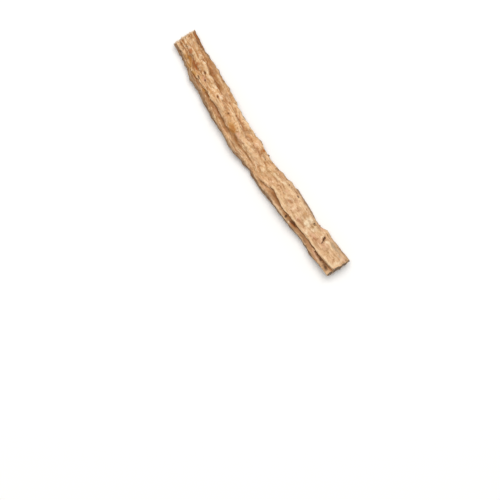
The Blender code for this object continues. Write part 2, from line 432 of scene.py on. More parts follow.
    def rib_relief(self, station: Array, bearing: Array) -> Array:
        """Work out the low ribs that run the whole length, drift round the root and sway.

        Args:
            station: Each point's station.
            bearing: Each point's bearing.

        Returns:
            The height at each point.
        """
        share = station / self.length
        total = np.zeros_like(bearing)
        for number, rib in enumerate(self.ribs):
            sway = self.rib_sway * np.sin(2 * np.pi * (self.sways * share + self.sway_step * number))
            place = rib.count * (bearing - rib.bearing - rib.turn * share - sway)
            total += rib.height * np.cos(np.radians(place))
        return total

    def scattered_warts(self) -> list[Swelling]:
        """Draw the scattered warts.

        Returns:
            The same warts each time.
        """
        draw = np.random.default_rng(self.seed)
        room = self.length - 2 * self.wart_margin
        return [
            Swelling(self.wart_margin + room * draw.uniform() ** self.crownward, draw.uniform(0, 360),
                     draw.uniform(*self.wart_heights), draw.uniform(*self.wart_along),
                     draw.uniform(*self.wart_around))
            for _ in range(self.warts)
        ]

    def calm(self, bearing: Array) -> Array:
        """Give how far the relief is calmed, from 0 at the sides to 1 underneath."""
        downward = -np.sin(np.radians(bearing))
        return np.clip((downward - self.calm_from) / (self.calm_full - self.calm_from), 0, 1)

    def relief(self, station: Array, bearing: Array, radius: Array) -> Array:
        """Work out the wrinkled surface over the plain section.

        Args:
            station: Each point's station.
            bearing: Each point's bearing.
            radius: Each point's distance from the middle of its section.

        Returns:
            The height at each point.
        """
        total = self.rib_relief(station, bearing)
        for furrow in self.furrows:
            total += self.furrow_relief(furrow, station, bearing, radius)
        for swelling in (*self.knots, *self.scattered_warts()):
            total += self.swelling_relief(swelling, station, bearing, radius)
        return total * (1 - self.underside_calm * self.calm(bearing))

    def half_sizes(self, station: Array) -> tuple[Array, Array, Array, Array]:
        """Work out the plain sections.

        Args:
            station: Each section's station.

        Returns:
            Their half width and half height, and their middle's y and z.
        """
        left, right = self.column(self.sides, 1, station), self.column(self.sides, 2, station)
        half_width = (left - right) / 2
        half_height = half_width * self.column(self.flatness, 1, station)
        return half_width, half_height, (left + right) / 2, half_height - self.column(self.press, 1, station)

    def section_point(self, station: Array, bearing: Array) -> tuple[Array, Array, Array]:
        """Place points of the skin in their sections.

        Args:
            station: Each point's station.
            bearing: Each point's bearing.

        Returns:
            Each point's y and z, and the height of the relief there.
        """
        half_width, half_height, middle_y, middle_z = self.half_sizes(station)
        cosine, sine = np.cos(np.radians(bearing)), np.sin(np.radians(bearing))
        y = half_width * np.sign(cosine) * np.abs(cosine) ** (2 / self.boxiness)
        z = half_height * np.sign(sine) * np.abs(sine) ** (2 / self.boxiness)
        out_y, out_z = cosine / half_width, sine / half_height
        height = self.relief(station, bearing, np.hypot(y, z))
        out = height / np.hypot(out_y, out_z)
        return middle_y + y + out * out_y, middle_z + z + out * out_z, height

    def bearing_of(self, station: float, aside: float) -> float:
        """Find a place on the upper side.

        Args:
            station: Its station.
            aside: How far aside of the chord it lies, towards +Y.

        Returns:
            Its bearing.
        """
        bearings = np.linspace(0, 180, 361)
        y, _, _ = self.section_point(np.full_like(bearings, station), bearings)
        return float(bearings[np.argmin(np.abs(y - aside))])

    @staticmethod
    def ragged(y: Array, z: Array, pitch: float, phase: float) -> Array:
        """Give an uneven height between -1 and 1 over a cut, with bumps about a pitch across."""
        over_y, over_z = 2 * np.pi * y / pitch, 2 * np.pi * z / pitch
        return (np.sin(over_y + phase) * np.cos(over_z - phase) + np.sin(2 * over_z + over_y)) / 2

    def cut_offset(self, y: Array, z: Array, end: CutEnd) -> Array:
        """Give how far the cut at an end stands out: its lean and its ragged rim."""
        lean = self.crown_lean if end is CutEnd.CROWN else self.tip_lean
        return self.rim_roughness * self.ragged(y, z, self.rim_pitch, end.value) + lean * (self.lean_top - z)

    def face_offset(self, y: Array, z: Array, share: Array) -> Array:
        """Work out a cut face's own relief: a woody core that stands proud, and torn fibres round it.

        Args:
            y: Each point's y.
            z: Each point's z.
            share: Each point's place from the middle of the cut, 0, to its rim, 1.

        Returns:
            How far each point stands out.
        """
        core = self.core_height * (1 - np.clip(share / self.core_share, 0, 1) ** 2)
        torn = self.face_roughness * self.ragged(y, z, self.face_pitch, 0)
        return core + torn * np.clip((1 - share) / self.face_fade, 0, 1)


# The stains, painted shade and painted highlights seen from above, by tint: station, aside, reach along,
# reach across, strength.
# Many brown and dark marks are painted shade along the creases, in pits and at the rims; some pale ones are
# painted highlights on the crease's lips.
STAINS_AND_PAINTED_LIGHT = {tint: tuple(Mark(*row) for row in rows) for tint, rows in {
    Tint.BROWN: (
        (3.0, 3.0, 5.0, 0.8, 0.9), (12.0, 2.4, 6.0, 0.7, 0.7), (16.5, 0.9, 4.0, 0.6, 0.45),
        (4.0, 1.9, 4.5, 0.8, 0.45), (22.5, 0.3, 5.0, 0.8, 0.5), (5.5, 2.4, 2.5, 0.5, 0.6),
        (10.0, -0.6, 2.2, 0.9, 0.45), (22.0, -2.9, 2.6, 1.1, 0.4), (28.0, -3.6, 4.5, 0.6, 0.45),
        (42.4, 0.6, 0.9, 0.9, 0.5), (26.0, 1.3, 3.0, 0.6, 0.5), (34.0, -2.0, 2.4, 2.2, 0.38),
        (75.5, -2.3, 3.0, 0.6, 0.4), (7.5, -2.9, 3.5, 1.2, 0.45), (5.6, -0.9, 1.6, 0.45, 0.6),
        (9.3, -2.8, 2.2, 0.9, 0.25), (10.8, -4.1, 0.9, 0.5, 1.2), (5.9, -2.9, 0.6, 0.45, 0.7),
        (4.0, -3.3, 0.9, 0.4, 0.6), (8.5, -3.1, 0.9, 0.4, 0.6), (23.0, -4.5, 7.0, 0.75, 0.9),
        (30.0, -5.2, 2.2, 0.5, 0.9), (34.0, -4.7, 2.8, 0.7, 0.7), (19.5, -5.1, 4.5, 0.8, 0.9),
        (39.0, -4.6, 6.5, 0.35, 0.9), (1.8, -2.6, 1.8, 1.0, 0.4), (43.0, -0.3, 2.2, 1.1, 0.4),
        (34.0, 0.2, 3.0, 0.4, 0.5), (56.0, -4.9, 4.0, 0.8, 0.9), (66.0, -4.5, 5.0, 0.8, 1.0),
        (77.0, -4.0, 6.0, 0.9, 0.4), (83.0, -3.6, 3.0, 0.8, 0.3), (76.5, -4.8, 9.0, 0.9, 0.45),
    ),
    Tint.RUST: (
        (1.8, 2.8, 2.4, 0.6, 0.45), (4.4, -1.0, 0.8, 0.45, 0.9), (7.3, -1.5, 0.8, 0.28, 0.9),
        (8.9, -1.3, 0.5, 0.32, 0.8), (8.3, -2.1, 1.3, 0.32, 0.8), (9.6, -2.6, 0.9, 0.30, 0.7),
        (11.2, -4.2, 0.7, 0.5, 1.2), (20.9, -1.85, 0.7, 0.3, 0.7), (24.7, 0.15, 1.2, 0.5, 0.35),
        (31.3, -3.7, 1.7, 0.7, 0.6), (42.4, 0.6, 0.7, 0.9, 0.8), (49.5, -0.3, 0.6, 0.35, 0.5),
        (60.0, -1.45, 0.7, 0.28, 0.5), (64.8, 1.45, 0.45, 0.35, 0.8), (66.3, -4.7, 1.3, 0.20, 1.1),
    ),
    Tint.OCHRE: (
        (5.6, -3.0, 2.6, 1.0, 0.55), (8.0, -3.9, 1.8, 0.6, 0.85), (10.8, -4.0, 1.0, 0.7, 1.5),
        (16.5, -4.1, 0.7, 0.5, 0.8), (31.2, -3.7, 1.6, 0.8, 1.1), (42.4, 0.5, 1.1, 0.9, 0.6),
        (27.5, -2.6, 2.5, 0.8, 0.45), (46.0, -1.2, 2.0, 0.7, 0.4), (65.7, 0.3, 0.9, 0.6, 0.6),
        (71.2, 0.0, 1.1, 0.7, 0.4), (57.5, -2.2, 1.6, 0.7, 0.25),
    ),
    Tint.DARK: (
        (7.0, 2.45, 2.6, 0.35, 0.5), (2.6, -2.5, 0.4, 0.3, 0.6), (5.8, -2.95, 0.6, 0.35, 0.6),
        (12.3, -3.4, 0.9, 0.35, 0.75), (12.5, -1.02, 0.6, 0.2, 1.0), (14.3, -2.4, 0.45, 0.28, 0.7),
        (20.9, -1.95, 0.5, 0.2, 0.9), (26.9, -1.95, 0.5, 0.3, 0.6), (34.2, -1.1, 0.6, 0.3, 0.5),
        (45.0, -0.5, 1.6, 0.3, 0.4), (38.0, -4.55, 5.0, 0.16, 0.5), (66.3, -4.4, 1.8, 0.24, 0.8),
        (78.5, -3.7, 6.0, 0.22, 0.55), (79.0, -4.5, 7.0, 0.8, 0.24), (80.5, -4.9, 5.5, 0.30, 0.3),
        (71.5, -4.4, 2.6, 0.24, 0.45), (76.8, -4.9, 2.8, 0.28, 0.5), (82.2, -4.0, 2.4, 0.24, 0.5),
        (55.6, 1.35, 0.3, 0.28, 0.9), (60.1, 1.5, 0.46, 0.32, 1.5), (63.0, -5.1, 0.42, 0.30, 1.3),
        (70.1, 1.15, 0.46, 0.42, 1.6), (72.1, -2.1, 0.35, 0.25, 0.5), (75.2, 1.45, 0.24, 0.38, 1.1),
        (75.4, 0.85, 0.26, 0.38, 1.1), (75.7, 0.30, 0.32, 0.38, 1.0), (76.0, -0.25, 0.30, 0.38, 0.9),
    ),
    Tint.PINK: (
        (3.1, 0.95, 0.8, 0.5, 0.6), (13.7, -2.3, 1.1, 0.8, 0.7), (21.2, -1.1, 0.7, 0.4, 0.8),
        (24.0, -4.9, 3.0, 0.5, 0.5), (34.2, -3.1, 1.3, 0.6, 0.7), (56.6, -0.45, 0.6, 0.4, 0.7),
        (59.0, -5.5, 1.9, 0.35, 0.35), (66.0, -2.2, 1.8, 0.7, 0.4), (73.0, -1.5, 1.4, 0.8, 0.5),
        (78.0, -4.3, 5.0, 0.35, 0.45), (84.0, 2.3, 1.0, 0.9, 0.6),
    ),
    Tint.PALE: (
        (9.7, 0.6, 0.6, 0.35, 0.9), (7.2, 0.95, 0.9, 0.35, 0.6), (11.4, 0.85, 0.5, 0.25, 0.7),
        (12.8, -0.55, 0.4, 0.22, 0.8), (17.8, -1.0, 1.2, 0.7, 0.4), (39.5, -2.0, 2.2, 0.6, 0.4),
        (54.1, 0.3, 1.0, 0.6, 0.7), (60.5, -5.5, 2.2, 0.3, 0.45), (65.0, -5.3, 0.8, 0.25, 0.5),
        (68.4, 0.2, 1.4, 0.9, 0.85), (71.3, 0.1, 1.1, 0.8, 0.45), (21.8, -1.2, 1.8, 0.6, 0.55),
        (60.5, -2.4, 4.0, 0.6, 0.4), (69.0, -1.2, 2.0, 0.6, 0.35), (82.0, -2.4, 2.0, 0.6, 0.4),
        (79.5, -4.3, 4.5, 0.22, 0.4), (70.9, -2.7, 1.1, 0.6, 0.45), (74.5, 1.1, 0.25, 0.7, 0.6),
        (76.5, 0.9, 0.50, 0.5, 0.6), (77.3, 1.3, 0.7, 0.6, 0.4), (83.9, 0.6, 0.7, 2.4, 0.55),
    ),
    Tint.GREY: (
        (67.0, 1.4, 1.0, 0.7, 0.3), (78.5, 2.0, 1.7, 0.9, 0.7), (82.4, 1.7, 1.0, 0.4, 0.6),
        (80.5, 2.2, 2.5, 0.8, 0.6), (50.5, -0.2, 2.5, 1.0, 0.3),
    ),
}.items()}

# Small pits seen from above, with their depths in the last column.
PITS = tuple(Mark(*row) for row in (
    (12.5, -1.02, 0.6, 0.22, 0.28), (14.3, -2.4, 0.45, 0.28, 0.18), (20.9, -1.95, 0.5, 0.22, 0.24),
    (26.9, -1.95, 0.45, 0.3, 0.18), (34.2, -1.1, 0.5, 0.3, 0.15), (55.6, 1.35, 0.3, 0.28, 0.22),
    (60.1, 1.5, 0.45, 0.30, 0.26), (63.0, -5.1, 0.4, 0.3, 0.22), (70.1, 1.15, 0.45, 0.38, 0.26),
    (75.1, 1.50, 0.20, 0.35, 0.30), (75.3, 0.95, 0.20, 0.35, 0.25), (75.6, 0.40, 0.24, 0.35, 0.20),
    (75.9, -0.15, 0.22, 0.35, 0.15),
))


@dataclass(frozen=True)
class Pattern:
    """A noise: its size across the root in millimetres, how many times as long it is along it, its detail."""

    size: float
    length: float = 1.0
    detail: float = 4.0
    roughness: float = 0.6


@dataclass(frozen=True)
class Layer:
    """A tone laid over a colour, from nothing at one value of its source to its most at another."""

    source: str
    nothing: float
    full: float
    most: float
    tone: str


def noises(tree: Tree, place: Node | Socket, patterns: dict[str, Pattern]) -> dict[str, Socket]:
    """Add a noise for each pattern.

    Args:
        tree: The tree, of either kind.
        place: The coordinates in millimetres, with X along the root.
        patterns: Each noise by name.

    Returns:
        The value of each noise by name, around a half.
    """
    made = {}
    for number, (name, pattern) in enumerate(patterns.items()):
        across = 1 / pattern.size
        scaled = add_node(tree, VECTORS, place, (across / pattern.length, across, across),
                          (PATTERN_STEP * number, 0.0, 0.0), operation="MULTIPLY_ADD")
        values = {"Scale": 1.0, "Detail": pattern.detail, "Roughness": pattern.roughness}
        made[name] = add_node(tree, NOISE, scaled, named=values).outputs[0]
    return made


def swayed(tree: Tree, place: Node | Socket, size: float, reach: float) -> Socket:
    """Move coordinates to and fro, so that a pattern on them doesn't run straight.

    Args:
        tree: The tree, of either kind.
        place: The coordinates.
        size: The length of a sway.
        reach: How far it moves them.

    Returns:
        The moved coordinates.
    """
    noise = add_node(tree, NOISE, place, named={"Scale": 1 / size, "Detail": 2.0})
    centred = add_node(tree, VECTORS, noise.outputs["Color"], NOISE_MIDDLE, operation="SUBTRACT")
    return add_node(tree, VECTORS, centred, (reach, reach, reach), place, operation="MULTIPLY_ADD").outputs[0]


def laid_over(tree: Tree, colour: Socket | tuple, sources: dict[str, Socket], layers: tuple) -> Socket:
    """Lay tones over a colour, one after the other.

    Args:
        tree: The material's tree.
        colour: The colour below.
        sources: The values that steer the layers, by name.
        layers: The layers, lowest first.

    Returns:
        The colour on top.
    """
    for layer in layers:
        share = add_node(tree, RANGE, sources[layer.source], layer.nothing, layer.full, 0.0, layer.most,
                         interpolation_type="SMOOTHSTEP")
        tones = {6: colour, 7: linear(layer.tone)}
        colour = add_node(tree, "ShaderNodeMix", share, named=tones, data_type="RGBA").outputs[2]
    return colour


def attributes(tree: Tree, names: tuple, output: str = "Fac") -> dict[str, Socket]:
    """Read attributes of the mesh in a material by name: numbers, or vectors where that is the output."""
    nodes = [add_node(tree, "ShaderNodeAttribute", attribute_name=name) for name in names]
    return {node.attribute_name: node.outputs[output] for node in nodes}


def toned(tree: Tree, value: Node | Socket, tones: tuple) -> Socket:
    """Turn a value into a colour.

    Args:
        tree: The material's tree.
        value: The value.
        tones: Each stop's position and colour, in rising order.

    Returns:
        The colour.
    """
    node = add_node(tree, "ShaderNodeValToRGB", value)
    stops = node.color_ramp.elements
    while len(stops) < len(tones):
        stops.new(1.0)
    for stop, (position, tone) in zip(stops, tones):
        stop.position = position
        stop.color = linear(tone)
    return node.outputs["Color"]


def new_material(name: str, colour: str | None = None) -> bpy.types.Material:
    """Start a material.

    Args:
        name: The material's name.
        colour: Its plain colour, where it has one.

    Returns:
        The material, with its shader.
    """
    material = bpy.data.materials.new(name)
    material.use_nodes = True
    if colour:
        material.node_tree.nodes["Principled BSDF"].inputs["Base Color"].default_value = linear(colour)
    return material


def surface(tree: Tree, colour: Socket, finish: object, height: Node | Socket | None = None) -> None:
    """Give a material's shader its colour, its sheen and its bumps.

    Args:
        tree: The material's tree.
        colour: The colour.
        finish: The finish, whose roughness, specular level and bump in millimetres are used.
        height: What the bumps follow, if it has any.
    """
    shader = tree.nodes["Principled BSDF"]
    shader.inputs["Roughness"].default_value = finish.roughness
    shader.inputs["Specular IOR Level"].default_value = finish.specular
    tree.links.new(colour, shader.inputs["Base Color"])
    if height is not None:
        bump = add_node(tree, "ShaderNodeBump", named={"Height": height, "Distance": finish.bump * MM})
        tree.links.new(bump.outputs[0], shader.inputs["Normal"])


@dataclass(frozen=True)
class DriedRootSkin:
    """Unpeeled root skin, air-dried: thin cork over shrunken bark.

    It is matt and pale tan with rusty stains, painted brown shade in its hollows, a painted cream highlight
    on its humps and painted shade on its flanks.
    """

    tans: tuple = ((0.36, "#b98250"), (0.50, "#ce9b69"), (0.64, "#dfb182"))
    patterns: dict = field(default_factory=lambda: {
        "broad": Pattern(5.0, 2.5),
        "hue": Pattern(2.4, 1.8, 3.0, 0.65),
        "streak": Pattern(0.90, 4.0, 5.0, 0.60),
        "fleck": Pattern(0.72, 2.2, 4.0, 0.60),
        "speck": Pattern(0.34, 1.2, 3.0, 0.60),
        "grain": Pattern(0.16, 1.5, 3.0, 0.60),
    })
    layers: tuple = (
        Layer("tipward", 0.40, 0.80, 0.50, "#dfc09c"),
        Layer("tipward", 0.45, 0.10, 0.26, "#c88f52"),
        Layer("hue", 0.47, 0.32, 0.48, "#cf977a"),
        Layer("hue", 0.52, 0.67, 0.48, "#bfa171"),
        Layer("streak", 0.48, 0.33, 0.60, "#9b6a3c"),
        Layer("streak", 0.53, 0.68, 0.60, "#f0d2a6"),
        Layer("fleck", 0.46, 0.33, 0.55, "#94602f"),
        Layer("fleck", 0.54, 0.67, 0.60, "#f2d3ae"),
        Layer("speck", 0.42, 0.30, 0.28, "#7d4f27"),
        Layer("speck", 0.58, 0.70, 0.28, "#f6dfc2"),
        # Painted shade in the hollows and painted highlight on the humps, from how far the relief stands
        # below or above the surface near it.
        Layer("rise_wide", -0.06, -0.50, 0.52, "#96602f"),
        Layer("rise_wide", 0.03, 0.35, 0.30, "#ecc99c"),
        Layer("rise_close", -0.02, -0.12, 0.38, "#8a552b"),
        Layer("rise_close", 0.02, 0.10, 0.26, "#f3d8b2"),
        Layer("scar", 0.15, 0.90, 0.35, "#6a4424"),
        # Painted shade: the flanks darkened in colour.
        Layer("painted_flank_shade", 0.15, 0.52, 0.60, "#5e3d26"),
    )
    # The brown and dark tints lay painted shade as well as stains, and the pale tint lays painted highlights
    # as well as pale patches.
    tints: tuple = (
        (Tint.BROWN, "#94602f", 0.72),
        (Tint.OCHRE, "#b57c2e", 0.70),
        (Tint.RUST, "#a65a22", 0.75),
        (Tint.PINK, "#dba88c", 0.65),
        (Tint.PALE, "#f4e0be", 0.75),
        (Tint.GREY, "#ab9a80", 0.60),
        (Tint.DARK, "#4a2b14", 0.85),
    )
    contrast: tuple = (1.35, 0.95)
    raggedness: float = 3.2
    tint_edge: tuple = (0.15, 0.80)
    roughness: float = 0.85
    specular: float = 0.30
    sway: tuple = (7.0, 1.6)
    bump: float = 0.07
    speck_bump: float = 0.6
    grain_bump: float = 0.35

    def material(self) -> bpy.types.Material:
        """Make the material.

        Returns:
            The skin, with its pattern on the root's straightened coordinates in millimetres.
        """
        material = new_material("dried_root_skin")
        tree = material.node_tree
        flow = attributes(tree, ("flow",), "Vector")["flow"]
        sources = noises(tree, swayed(tree, flow, *self.sway), self.patterns)
        sources |= attributes(tree, ("tipward", "rise_wide", "rise_close", "scar", "painted_flank_shade"))

        # The fine pattern is stronger towards the crown.
        crown, tip = self.contrast
        strength = add_node(tree, RANGE, sources["tipward"], named={3: crown, 4: tip})
        for name in ("streak", "fleck", "speck"):
            centred = add_node(tree, MATH, sources[name], NOISE_MEAN, operation="SUBTRACT")
            stretched = add_node(tree, MATH, centred, strength, NOISE_MEAN, operation="MULTIPLY_ADD")
            sources[name] = stretched.outputs[0]
        colour = laid_over(tree, toned(tree, sources["broad"], self.tans), sources, self.layers)

        # Stains, painted shade and painted highlights, with edges that the flecks break up.
        ragged = add_node(tree, MATH, sources["fleck"], self.raggedness, 1 - self.raggedness / 2,
                          operation="MULTIPLY_ADD")
        for tint, tone, most in self.tints:
            mask = attributes(tree, (tint.value,))[tint.value]
            broken = add_node(tree, MATH, mask, ragged, operation="MULTIPLY").outputs[0]
            layer = Layer("tint_share", *self.tint_edge, most, tone)
            colour = laid_over(tree, colour, {"tint_share": broken}, (layer,))

        height = add_node(tree, MATH, sources["speck"], self.speck_bump, sources["fleck"],
                          operation="MULTIPLY_ADD")
        height = add_node(tree, MATH, sources["grain"], self.grain_bump, height, operation="MULTIPLY_ADD")
        surface(tree, colour, self, height)
        return material


@dataclass(frozen=True)
class CutRootWood:
    """The root's cut and broken inside: cream bark with open clefts round a yellow woody core.

    It is dry and matt, with a thin brown line where the core begins and darker skin at the rim.
    """

    rings: tuple = ((0.26, "#d6b083"), (0.42, "#ae8058"), (0.54, "#efd8ba"), (0.88, "#ebcfac"),
                    (0.98, "#94643f"))
    patterns: dict = field(default_factory=lambda: {
        "cells": Pattern(0.22, 1.0, 4.0, 0.65),
        "dust": Pattern(0.09, 1.0, 3.0, 0.65),
    })
    layers: tuple = (
        Layer("rays", 0.47, 0.30, 0.55, "#8a6137"),
        Layer("rays", 0.56, 0.70, 0.45, "#f0dfbd"),
        Layer("cells", 0.46, 0.30, 0.50, "#9a6a4a"),
        Layer("dust", 0.46, 0.30, 0.40, "#a2785a"),
        # Painted shade: the clefts darkened in colour.
        Layer("cleft", 0.10, 0.80, 0.75, "#63402c"),
        # Painted shade: the cut face at the tip end darkened in colour.
        Layer("tipward", 0.40, 0.60, 0.74, "#5c4236"),
    )
    ray_size: float = 0.15
    ray_detail: float = 4.0
    ray_roughness: float = 0.7
    wave: float = 0.30
    roughness: float = 0.9
    specular: float = 0.25
    bump: float = 0.09

    def material(self) -> bpy.types.Material:
        """Make the material.

        Returns:
            The cut face, with its rings on each cut's own round coordinates.
        """
        material = new_material("cut_root_wood")
        tree = material.node_tree
        read = attributes(tree, ("cut_place", "cut_flow"), "Vector")
        share = add_node(tree, VECTORS, read["cut_place"], operation="LENGTH").outputs["Value"]
        around = add_node(tree, VECTORS, read["cut_place"], operation="NORMALIZE")
        sources = noises(tree, read["cut_flow"], self.patterns) | attributes(tree, ("cleft", "tipward"))
        values = {"Scale": 1 / self.ray_size, "Detail": self.ray_detail, "Roughness": self.ray_roughness}
        sources["rays"] = add_node(tree, NOISE, around, named=values).outputs[0]
        wave = add_node(tree, MATH, sources["cells"], self.wave, -self.wave / 2, operation="MULTIPLY_ADD")
        wavy = add_node(tree, MATH, share, wave, operation="ADD")
        colour = laid_over(tree, toned(tree, wavy, self.rings), sources, self.layers)
        height = add_node(tree, MATH, sources["cells"], sources["rays"], operation="ADD")
        surface(tree, colour, self, height)
        return material


@dataclass(frozen=True)
class DryPlantMatter:
    """Small dry parts of the root, such as cork scales, rootlet stumps or fibres: matt, in two tones."""

    name: str
    light: str
    dark: str
    # The strength and tone of the painted flank shade that the skin carries over to the part.
    painted_flank_shade: float = 0.60
    flank_shade_tone: str = "#6b4a30"
    grain: float = 0.25
    grain_share: float = 0.9
    roughness: float = 0.85
    specular: float = 0.3

    def material(self) -> bpy.types.Material:
        """Make the material.

        Returns:
            The finish, mottled on the object's own coordinates.
        """
        material = new_material(self.name, self.light)
        tree = material.node_tree
        place = add_node(tree, "ShaderNodeTexCoord").outputs["Object"]
        values = {"Scale": 1 / (self.grain * MM), "Detail": 3.0}
        sources = {"grain": add_node(tree, NOISE, place, named=values).outputs[0]}
        sources |= attributes(tree, ("painted_flank_shade",))
        # Painted shade: the part is darkened where the skin under it has painted flank shade.
        layers = (Layer("grain", 0.62, 0.38, self.grain_share, self.dark),
                  Layer("painted_flank_shade", 0.05, 0.45, self.painted_flank_shade, self.flank_shade_tone))
        surface(tree, laid_over(tree, linear(self.light), sources, layers), self)
        return material


@dataclass
class RootSkin:
    """The root's whole surface: its finely wrinkled skin and both cut faces, as one closed mesh."""

    form: RootForm
    sections: int = 540
    around: int = 168
    face_rings: int = 20
    seed: int = 5

    # The clefts of a cut. Pairs are the ends of the range that each is drawn from: its place within its
    # share of the turn, where it starts and stops between middle and rim, its width and its strength.
    clefts: int = 8
    cleft_depth: float = 0.36
    cleft_width: float = 0.16
    cleft_places: tuple = (-0.2, 1.2)
    cleft_starts: tuple = (0.28, 0.60)
    cleft_stops: tuple = (0.68, 0.95)
    cleft_bend: float = 35.0
    cleft_widths: tuple = (0.3, 1.3)
    cleft_strengths: tuple = (0.15, 1.0)
    cleft_taper: float = 0.1
    cut_radius: float = 3.6
    chip_depth: float = 0.26
    chip_pitch: float = 1.4

    # The stains drawn for each tint on the hidden sides.
    hidden_stains: int = 9
    hidden_bearings: tuple = (185, 355)
    hidden_strengths: tuple = (0.3, 0.65)
    hidden_along: tuple = (0.5, 2.2)
    hidden_across: tuple = (0.3, 0.8)
    strongest: float = 1.6

    # Painted shade: the skin's colour is darkened on the flanks below this many degrees of rise, less so
    # underneath and on the +Y side of the tip.
    flank_shade_height: float = 44.0
    underside_turn: float = 40.0
    underside_lighter: float = 0.6
    tip_lighter: float = 0.5

    # The relief fades out below this height over the floor.
    calm_height: float = 0.25

    # How the patterns of the relief are stretched and cut off, and the sizes that its tree gets.
    sway: tuple = (6.5, 2.0)
    lump_stretch: tuple = (0.7, 1.0, 1.0)
    lump_level: float = 0.37
    crease_widths: tuple = (("Crease", 0.075), ("Fine", 0.11))
    scar_stretch: tuple = (1.8, 1.0, 1.0)
    scar_rarer: float = -0.52
    scar_limits: tuple = (0.42, 0.56)
    scar_reaches: tuple = ((0.08, 0.24), (0.20, 0.48))
    crack_stretch: tuple = (1.0, 0.35, 0.35)
    crack_limits: tuple = (0.40, 0.32)
    crown_strength: float = 1.1
    tip_weaker: float = -0.50
    torn: Pattern = Pattern(0.6, 1.0, 4.0, 0.65)
    relief_sizes: dict = field(default_factory=lambda: {
        "Lump height": 0.85,
        "Lump spacing": 1.7,
        "Crease depth": 0.22,
        "Crease spacing": 1.6,
        "Crease length": 9.0,
        "Fine depth": 0.10,
        "Fine spacing": 0.8,
        "Fine length": 3.0,
        "Scar depth": 0.20,
        "Scar mound": 0.12,
        "Scar spacing": 2.3,
        "Crack depth": 0.11,
        "Crack spacing": 1.1,
        "Cut roughness": 0.16,
        "Close blur": 10,
        "Wide blur": 90,
    })

    def grid(self) -> tuple[list, Array, Array]:
        """Lay out rings of points from the middle of the crown's cut, along the skin, to that of the tip's.

        Returns:
            The faces between them, facing outwards, and the ring number and bearing of each point.
        """
        rings = self.sections + 2 * self.face_rings
        last = rings * self.around + 1
        here = np.arange(1, last).reshape(rings, self.around)
        beside = np.roll(here, -1, axis=1)
        faces = np.stack([here[:-1], beside[:-1], beside[1:], here[1:]], axis=-1).reshape(-1, 4).tolist()
        faces += [[0, other, one] for one, other in zip(here[0].tolist(), beside[0].tolist())]
        faces += [[last, one, other] for one, other in zip(here[-1].tolist(), beside[-1].tolist())]
        ring = np.concatenate([[0], np.repeat(np.arange(1, rings + 1), self.around), [rings + 1]])
        bearing = np.concatenate([[0], np.tile(np.arange(self.around) * 360 / self.around, rings), [0]])
        return faces, ring, bearing

    def cleft_share(self, share: Array, bearing: Array, end: CutEnd) -> Array:
        """Work out the radial clefts of a cut face.

        Args:
            share: Each point's place from the middle of the cut, 0, to its rim, 1.
            bearing: Each point's bearing.
            end: The end that is cut.

        Returns:
            How deep each point lies in a cleft, from 0 to 1.
        """
        draw = np.random.default_rng(self.seed + end.value)
        total = np.zeros_like(share)
        for number in range(self.clefts):
            middle = 360 * (number + draw.uniform(*self.cleft_places)) / self.clefts
            inner, outer = draw.uniform(*self.cleft_starts), draw.uniform(*self.cleft_stops)
            bend = draw.uniform(-self.cleft_bend, self.cleft_bend)
            width = self.cleft_width * draw.uniform(*self.cleft_widths)
            off = self.form.turn_between(bearing, middle + bend * (share - inner))
            across = np.radians(off) * share * self.cut_radius / width
            taper = self.cleft_taper
            along = np.clip((share - inner) / taper, 0, 1) * np.clip((outer - share) / taper, 0, 1)
            total = np.maximum(total, along * np.exp(-(across ** 2)) * draw.uniform(*self.cleft_strengths))
        return total

    def stains_and_painted_light(self, station: Array, bearing: Array, radius: Array) -> dict[str, Array]:
        """Work out the stains, painted shade and painted highlights: those placed on the upper side, and
        stains drawn on the hidden sides.

        Args:
            station: Each point's station.
            bearing: Each point's bearing.
            radius: Each point's distance from the middle of its section.

        Returns:
            Each tint's strength at each point, by the name of its attribute.
        """
        form = self.form
        draw = np.random.default_rng(self.seed)
        strengths = {}
        for tint, marks in STAINS_AND_PAINTED_LIGHT.items():
            total = np.zeros_like(station)
            places = [Swelling(mark.station, form.bearing_of(mark.station, mark.aside), mark.strength,
                               mark.along, mark.across) for mark in marks]
            for _ in range(self.hidden_stains):
                places.append(Swelling(draw.uniform(0, form.length), draw.uniform(*self.hidden_bearings),
                                       draw.uniform(*self.hidden_strengths), draw.uniform(*self.hidden_along),
                                       draw.uniform(*self.hidden_across)))
            for place in places:
                total += form.swelling_relief(place, station, bearing, radius)
            strengths[tint.value] = np.clip(total, 0, self.strongest)
        return strengths

